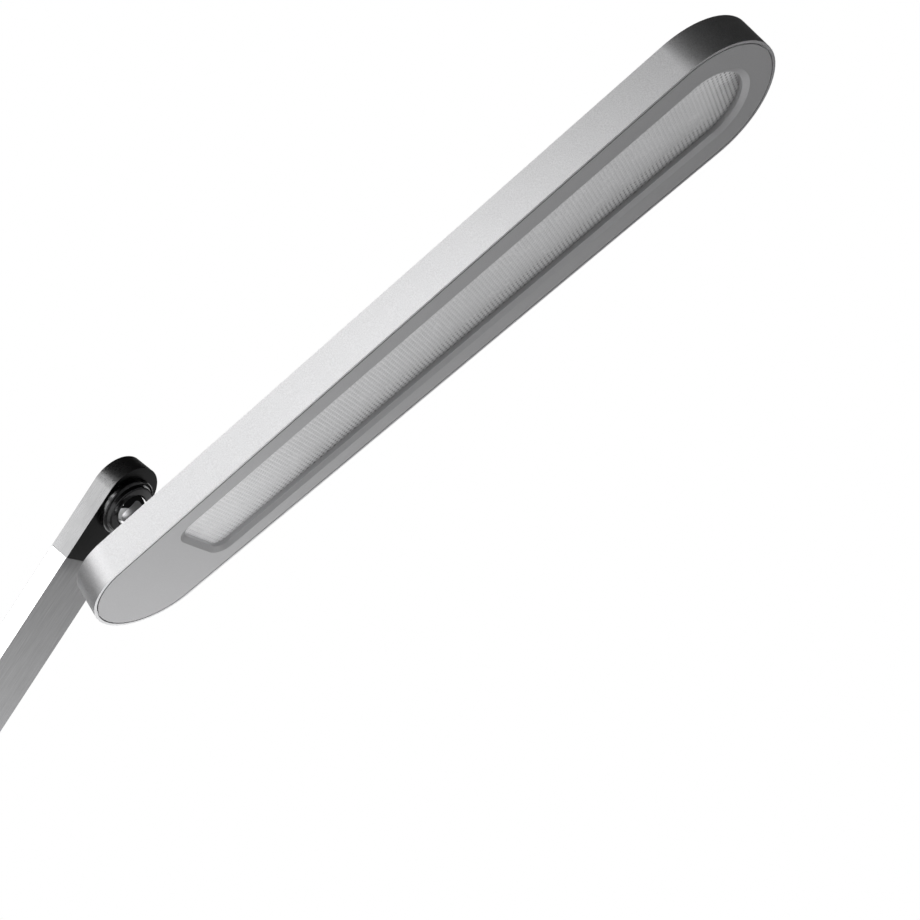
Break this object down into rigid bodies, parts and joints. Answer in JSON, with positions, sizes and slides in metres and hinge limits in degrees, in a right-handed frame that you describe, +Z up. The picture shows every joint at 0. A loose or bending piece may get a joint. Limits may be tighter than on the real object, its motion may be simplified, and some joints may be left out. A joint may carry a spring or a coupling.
{
  "type": "task light",
  "caption": "Task light: flat paddle head with a recessed prism lens, ball jointed to a rectangular arm that tilts and swings on a stem pin.",
  "frame": {"origin": "centre of the stem's shoulder face, on the swing axis", "axes": "+Z up along the stem, +X towards the head, +Y across the arm"},
  "size_m": [0.5208, 0.0821, 0.5534],
  "materials": {
    "head_aluminium": "bead blasted, satin anodised",
    "plate_aluminium": "matt grey",
    "spring_steel": "plain",
    "lens_acrylic": "micro prism",
    "film": "matt",
    "guide_acrylic": "clear",
    "white_sheet": "white",
    "inner_aluminium": "mill",
    "screw_steel": "zinc",
    "board_white": "solder mask",
    "led_yellow": "phosphor",
    "board_green": "solder mask",
    "parts_black": "moulded",
    "bracket_steel": "plain",
    "lead_black": "jacket",
    "button_aluminium": "satin",
    "ball_chrome": "polished",
    "washer_black": "nylon",
    "race_acetal": "acetal",
    "cap_black": "black anodised, brushed sides",
    "tube_aluminium": "brushed along its length",
    "slip_white": "acetal",
    "stem_steel": "turned"
  },
  "bodies": {
    "stand": {"stem": "stem_steel", "swivel_washer": "screw_steel", "swivel_screw": "screw_steel"},
    "yoke": {"yoke": "cap_black", "tilt_bolt": "screw_steel", "tilt_nut": "screw_steel", "friction_washers": "slip_white", "pivot_caps": "cap_black", "swivel_bush": "slip_white"},
    "arm": {"end_cap": "cap_black", "collar_ring": "cap_black", "race_spring": "spring_steel", "cap_screws": "screw_steel", "arm_tube": "tube_aluminium", "arm_lead": "lead_black", "knuckle_hub": "cap_black", "hub_screws": "screw_steel", "dc_jack": "parts_black"},
    "race": {"race_liner": "race_acetal"},
    "ball": {"ball_stud": "ball_chrome", "stud_washers": "washer_black", "stud_nut": "screw_steel", "stud_lead": "lead_black"},
    "head": {"head_shell": "head_aluminium", "face_plate": "plate_aluminium", "plate_clips": "spring_steel", "prism_lens": "lens_acrylic", "diffuser_film": "film", "light_guide": "guide_acrylic", "reflector_sheet": "white_sheet", "back_plate": "inner_aluminium", "back_screws": "screw_steel", "led_strips": "board_white", "led_chips": "led_yellow", "led_rails": "inner_aluminium", "driver_board": "board_green", "driver_parts": "parts_black", "board_screws": "screw_steel", "tact_switch": "parts_black", "stud_bracket": "bracket_steel", "bracket_screws": "screw_steel", "head_lead": "lead_black"},
    "button": {"switch_button": "button_aluminium"}
  },
  "joints": [
    {"name": "swing", "type": "hinge", "parent": "stand", "child": "yoke", "pos_m": [0, 0, 0.01], "axis": [0, 0, 1], "range_deg": [-170, 170]},
    {"name": "arm_tilt", "type": "hinge", "parent": "yoke", "child": "arm", "pos_m": [0, 0, 0.052], "axis": [0, -1, 0], "range_deg": [-38, 36]},
    {"name": "race_turn", "type": "hinge", "parent": "arm", "child": "race", "pos_m": [0.2198, 0, 0.3372], "axis": [0.8039, 0, -0.5948], "range_deg": [-45, 45]},
    {"name": "ball_tilt", "type": "hinge", "parent": "race", "child": "ball", "pos_m": [0.2198, 0, 0.3372], "axis": [0, -1, 0], "range_deg": [-12, 40]},
    {"name": "head_turn", "type": "hinge", "parent": "ball", "child": "head", "pos_m": [0.23486, 0, 0.31736], "axis": [-0.6046, 0, 0.7965], "range_deg": [-60, 60]},
    {"name": "button_press", "type": "slide", "parent": "head", "child": "button", "axis": [0.6046, 0, -0.7965], "range_m": [0, 0.0006], "stiffness_N_per_m": 3000, "springref_m": -0.0002}
  ]
}
